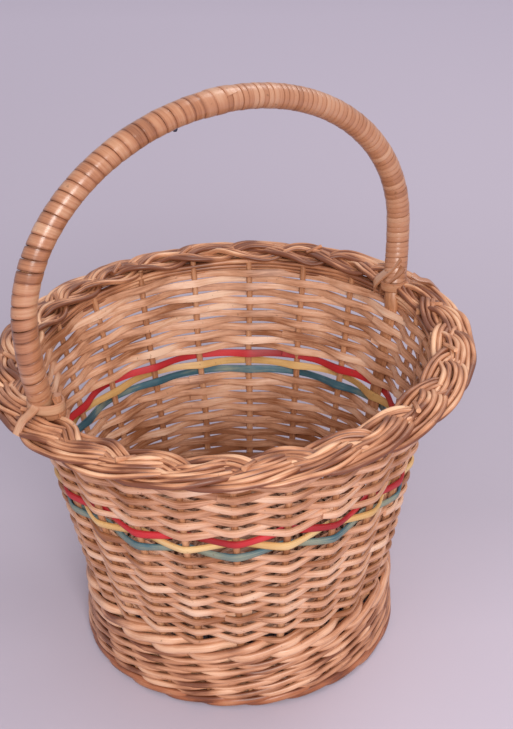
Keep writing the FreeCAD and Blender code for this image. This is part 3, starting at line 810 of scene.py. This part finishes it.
def make_ties():
    """Skein round each foot of the hoop and over the plait."""
    near = float(station_angle(BACK_GAPS))
    far = float(station_angle(0))
    pieces = [
        tie_post(),
        skein_loop(12 * MM, NEAR_TIE_SIDE, 8.9 * MM, 7.1 * MM, 5.2 * MM, 0.85),
        skein_loop(7.5 * MM, NEAR_TIE_SIDE, 8.6 * MM, 6.9 * MM, 4.6 * MM, 0.5),
        skein_loop(HOOP_LENGTH - 9 * MM, FAR_TIE_SIDE, 7.3 * MM, 6.9 * MM, 5.0 * MM, 0.6),
    ]
    pieces += [skein_over(near, *skein) for skein in NEAR_SKEINS]
    pieces += [skein_over(far, *skein) for skein in FAR_SKEINS]
    build("willow_hoop_ties", pieces, SKEIN, ["hoop_ties"], 35.0)


make_ties()


# ------------------------------------------------------------------ foot
FOOT_ROD = 1.6 * MM
FOOT_TOP = 36.0 * MM
FOOT_ROWS = 5
FOOT_ROW_LOW = 8.8 * MM
FOOT_ROW_PITCH = 4.6 * MM
FOOT_STAKE = 1.5 * MM
# The foot's stakes stand a little aside of the wall's.
FOOT_STAKE_SHIFT = 0.22
WALE_REACH = 3


def foot_radius(level):
    """Middle of the foot's wall: widest on the floor."""
    share = 1 - level / FOOT_TOP
    bottom = FOOT_OUTSIDE - 5.6 * MM
    return WAIST_RADIUS + 0.8 * MM + (bottom - WAIST_RADIUS) * share


def wale(level, rise, rod_radius, seed, swing, shift, shade=0.5):
    """One rod that goes three times round: over two stakes and under one, so three lie at every place."""
    rng = random.Random(seed)
    laps = STATIONS * WALE_REACH
    steps = laps * 12
    station = np.linspace(0, laps, steps, endpoint=False)
    phase = 2 * math.pi * ((station - FOOT_STAKE_SHIFT) / WALE_REACH + shift)
    face = np.tanh(2.0 * (0.25 + np.cos(phase)))
    wander = 0
    for _ in range(5):
        frequency = rng.randint(8, 60)
        wander = wander + np.sin(2 * math.pi * frequency * station / laps + rng.uniform(0, 6.28)) / 5
    height = np.maximum(level + rise * np.sin(phase) + 0.5 * MM * wander, rod_radius)
    radius = foot_radius(level) + swing * face + 0.3 * MM * wander
    angle = station_angle(station)
    centres = ring_points(radius, height, angle)
    outward = ring_points(np.ones(steps), np.zeros(steps), angle)
    size = rod_radius * (1 + 0.10 * wander)
    profile = round_profile(10)
    rod = sweep(centres, outward, profile, size * 0.85, size * 1.1, closed=True)
    lap = np.floor(station / STATIONS)
    tone = shade + 0.3 * wander + 0.16 * np.sin(2.1 * lap + seed) + 0.08 * np.sin(station * 0.45 + seed)
    return rod, shades(tone, profile, 1, 0.42)


def foot_stake(station):
    steps = 8
    angle = np.full(steps, float(station_angle(station + FOOT_STAKE_SHIFT)))
    level = np.linspace(3 * MM, FOOT_TOP + 1 * MM, steps)
    centres = ring_points(foot_radius(level), level, angle)
    outward = ring_points(np.ones(steps), np.zeros(steps), angle)
    return sweep(centres, outward, round_profile(10), FOOT_STAKE, FOOT_STAKE), 0.45


def make_foot():
    rods = []
    for number in range(FOOT_ROWS):
        level = FOOT_ROW_LOW + number * FOOT_ROW_PITCH
        rods.append(wale(level, 2.0 * MM, FOOT_ROD, 800 + number, 2.5 * MM, number * 0.37))
    build("willow_foot_weave", rods, FOOT, ["foot_weave"])
    waist = wale(34.0 * MM, 3.1 * MM, 2.4 * MM, 820, 3.2 * MM, 0.2, 0.72)
    build("willow_waist_wale", [waist], FOOT, ["waist_wale"])
    border = wale(3.7 * MM, 1.1 * MM, 2.0 * MM, 830, 1.9 * MM, 0.1, 0.38)
    build("willow_foot_border", [border], BORDER, ["foot_border"])
    stakes = [foot_stake(station) for station in range(STATIONS)]
    build("willow_foot_stakes", stakes, STAKE, ["foot_stakes"])


make_foot()


# ------------------------------------------------------------------ base
BASE_LEVEL = WAIST_LEVEL + ROW_PITCH * 0.5
BASE_STICK = 2.3 * MM
BASE_RADIUS = WAIST_RADIUS - 4.0 * MM
CROSS_HALF = 10.6 * MM
CROSS_SETTLE = 16 * MM
STICKS_EACH_WAY = 4
BASE_SPOKES = 4 * STICKS_EACH_WAY
BASE_ROD = 1.25 * MM
BASE_RING_PITCH = 4.1 * MM


def base_stick(place, layer):
    """A stick of the cross, fanned out past the crossing, where both layers come to one level."""
    steps = 61
    fan = 2 * math.pi / BASE_SPOKES * place
    reach = np.linspace(-BASE_RADIUS, BASE_RADIUS, steps)
    spread = np.maximum(np.abs(reach) - CROSS_HALF, 0)
    forward = np.sign(reach) * (np.minimum(np.abs(reach), CROSS_HALF) + spread * math.cos(fan))
    across = place * 2.1 * BASE_STICK + spread * math.sin(fan)
    drop = BASE_STICK * (1 - np.minimum(spread / CROSS_SETTLE, 1)) * (1 if layer else -1)
    height = BASE_LEVEL + drop
    columns = [forward, across, height] if layer else [across, forward, height]
    outward = np.tile([[0.0, 0.0, 1.0]], (steps, 1))
    return sweep(np.stack(columns, 1), outward, round_profile(12), BASE_STICK, BASE_STICK), 0.4


def base_ring(radius, ring_number, hand):
    """One rod of a pair that twists round every spoke."""
    rng = random.Random(900 + ring_number * 2 + hand)
    angle = np.linspace(0, 2 * math.pi, BASE_SPOKES * 12, endpoint=False)
    phase = BASE_SPOKES / 2 * (angle - math.pi / BASE_SPOKES)
    out = radius + hand * BASE_ROD * np.sin(phase)
    height = BASE_LEVEL + hand * (BASE_STICK + BASE_ROD) * np.cos(phase)
    centres = ring_points(out, height, angle)
    outward = np.tile([[0.0, 0.0, 1.0]], (len(angle), 1))
    rod = sweep(centres, outward, round_profile(8), BASE_ROD, BASE_ROD, closed=True)
    return rod, 0.45 + rng.uniform(-0.2, 0.25)


def make_base():
    places = [number - (STICKS_EACH_WAY - 1) / 2 for number in range(STICKS_EACH_WAY)]
    sticks = [base_stick(place, layer) for layer in (0, 1) for place in places]
    build("willow_base_sticks", sticks, BASE, ["base_sticks"])
    first = CROSS_HALF + 9 * MM
    count = math.ceil((BASE_RADIUS - 1 * MM - first) / BASE_RING_PITCH)
    rings = [
        base_ring(first + number * BASE_RING_PITCH, number, hand)
        for number in range(count) for hand in (-1, 1)
    ]
    build("willow_base_weave", rings, BASE, ["base_weave"])


make_base()


# ------------------------------------------------------------------ tack
TACK_CORNERS = 20
# Radius and height of the tack's outline, in mm, from its shank in the wrapping down to its domed head.
TACK_OUTLINE = [(0.0, 2.0), (0.7, 2.0), (0.75, 0.4), (1.25, 0.0), (1.35, -0.8), (0.9, -1.7), (0.0, -2.0)]


def make_tack():
    low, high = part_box("hoop_tack")
    middle = (Vector(low) + Vector(high)) / 2
    turn = np.linspace(0, 2 * math.pi, TACK_CORNERS, endpoint=False)
    verts = []
    for radius, height in TACK_OUTLINE:
        for angle in turn:
            spoke = Vector((radius * math.cos(angle), radius * math.sin(angle), height))
            verts.append(tuple(middle + spoke * MM))
    faces = []
    for ring in range(len(TACK_OUTLINE) - 1):
        above = ring * TACK_CORNERS
        below = above + TACK_CORNERS
        for spot in range(TACK_CORNERS):
            after = (spot + 1) % TACK_CORNERS
            faces.append((above + spot, above + after, below + after, below + spot))
    mesh = bpy.data.meshes.new("tack_head")
    mesh.from_pydata(verts, [], faces)
    mesh.shade_smooth()
    piece = bpy.data.objects.new("tack_head", mesh)
    bpy.context.scene.collection.objects.link(piece)
    material = willow(
        "dark_tack", roughness=0.35, coat=0.2,
        dark=(0.01, 0.02, 0.05), middle=(0.02, 0.045, 0.10), light=(0.05, 0.09, 0.17),
    )
    piece.data.materials.append(material)
    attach(piece, "root")
    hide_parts("hoop_tack")


make_tack()


# ------------------------------------------------------------------ stage, lights and camera
CAMERA_AZIMUTH = math.radians(33.5)
CAMERA_DISTANCE = 0.61795
CAMERA_HEIGHT = 0.48590
CAMERA_PAN = math.radians(1.19)
CAMERA_TILT = math.radians(28.065)
CAMERA_ROLL = math.radians(-1.357)
FLOOR_HALF = 6.0
FLOOR_FRONT = 0.4
FLOOR_BACK = 1.6
PAPER = (0.545, 0.485, 0.565)
# Painted light and shade on the paper by distance behind the basket's axis: palest in front of the basket
# and far behind it, darker just behind it.
FLOOR_PAINTED_LIGHT = [(-0.4, 0.98), (-0.03, 0.97), (0.09, 0.81), (0.25, 0.80), (0.64, 0.94), (1.4, 1.14)]


def make_stage():
    """A pale lilac-grey paper floor, with painted light and shade graded from front to back."""
    material = bpy.data.materials.new("paper_sweep_painted_light")
    material.use_nodes = True
    tree = material.node_tree
    shader = tree.nodes["Principled BSDF"]
    shader.inputs["Roughness"].default_value = 0.9
    shader.inputs["Specular IOR Level"].default_value = 0.1
    place = tree.nodes.new("ShaderNodeTexCoord")
    turned = tree.nodes.new("ShaderNodeMapping")
    turned.inputs["Rotation"].default_value = (0, 0, CAMERA_AZIMUTH)
    tree.links.new(place.outputs["Object"], turned.inputs["Vector"])
    axes = tree.nodes.new("ShaderNodeSeparateXYZ")
    tree.links.new(turned.outputs["Vector"], axes.inputs["Vector"])
    depth = tree.nodes.new("ShaderNodeMapRange")
    depth.inputs["From Min"].default_value = -FLOOR_FRONT
    depth.inputs["From Max"].default_value = FLOOR_BACK
    tree.links.new(axes.outputs["Y"], depth.inputs["Value"])
    stops = []
    for distance, tone in FLOOR_PAINTED_LIGHT:
        position = (distance + FLOOR_FRONT) / (FLOOR_BACK + FLOOR_FRONT)
        stops.append((position, [channel * tone for channel in PAPER]))
    colour = ramp_through(tree, depth.outputs["Result"], stops)
    tree.links.new(colour, shader.inputs["Base Color"])
    mesh = bpy.data.meshes.new("floor_sweep")
    corners = [(-FLOOR_HALF, -FLOOR_HALF, 0), (FLOOR_HALF, -FLOOR_HALF, 0)]
    corners += [(FLOOR_HALF, FLOOR_HALF, 0), (-FLOOR_HALF, FLOOR_HALF, 0)]
    mesh.from_pydata(corners, [], [(0, 1, 2, 3)])
    floor = bpy.data.objects.new("floor_sweep", mesh)
    floor.data.materials.append(material)
    bpy.context.scene.collection.objects.link(floor)


def add_area(name, position, target, size, power, colour):
    """A square lamp that faces a target."""
    light = bpy.data.lights.new(name, "AREA")
    light.energy = power
    light.size = size
    light.color = colour
    lamp = bpy.data.objects.new(name, light)
    lamp.location = position
    lamp.rotation_euler = (Vector(target) - Vector(position)).to_track_quat("-Z", "Y").to_euler()
    bpy.context.scene.collection.objects.link(lamp)


def make_lights():
    world = bpy.data.worlds.new("studio")
    world.use_nodes = True
    background = world.node_tree.nodes["Background"]
    background.inputs["Color"].default_value = (0.93, 0.92, 1.0, 1)
    background.inputs["Strength"].default_value = 0.66
    bpy.context.scene.world = world
    middle = (0, 0, 0.13)
    add_area("key_light", (-0.62, -1.18, 0.86), middle, 0.6, 19.0, (1.0, 0.975, 0.95))
    add_area("side_light", (0.90, 0.05, 1.35), middle, 0.6, 7.0, (1.0, 0.97, 0.95))
    bpy.context.scene.view_settings.view_transform = "Standard"


def make_camera():
    """The camera, placed by its turn about the basket's axis, its distance and its height."""
    camera = bpy.data.cameras.new("camera")
    camera.sensor_fit = "VERTICAL"
    camera.sensor_height = 36.0
    camera.lens = 66.29
    camera.clip_start = 0.02
    eye = bpy.data.objects.new("camera", camera)
    round_axis = Matrix.Rotation(-CAMERA_AZIMUTH, 4, "Z")
    place = Matrix.Translation((0.0, -CAMERA_DISTANCE, CAMERA_HEIGHT))
    pan = Matrix.Rotation(-CAMERA_PAN, 4, "Z")
    tilt = Matrix.Rotation(math.pi / 2 - CAMERA_TILT, 4, "X")
    roll = Matrix.Rotation(CAMERA_ROLL, 4, "Z")
    eye.matrix_world = round_axis @ place @ pan @ tilt @ roll
    bpy.context.scene.collection.objects.link(eye)
    bpy.context.scene.camera = eye


make_stage()
make_lights()
make_camera()
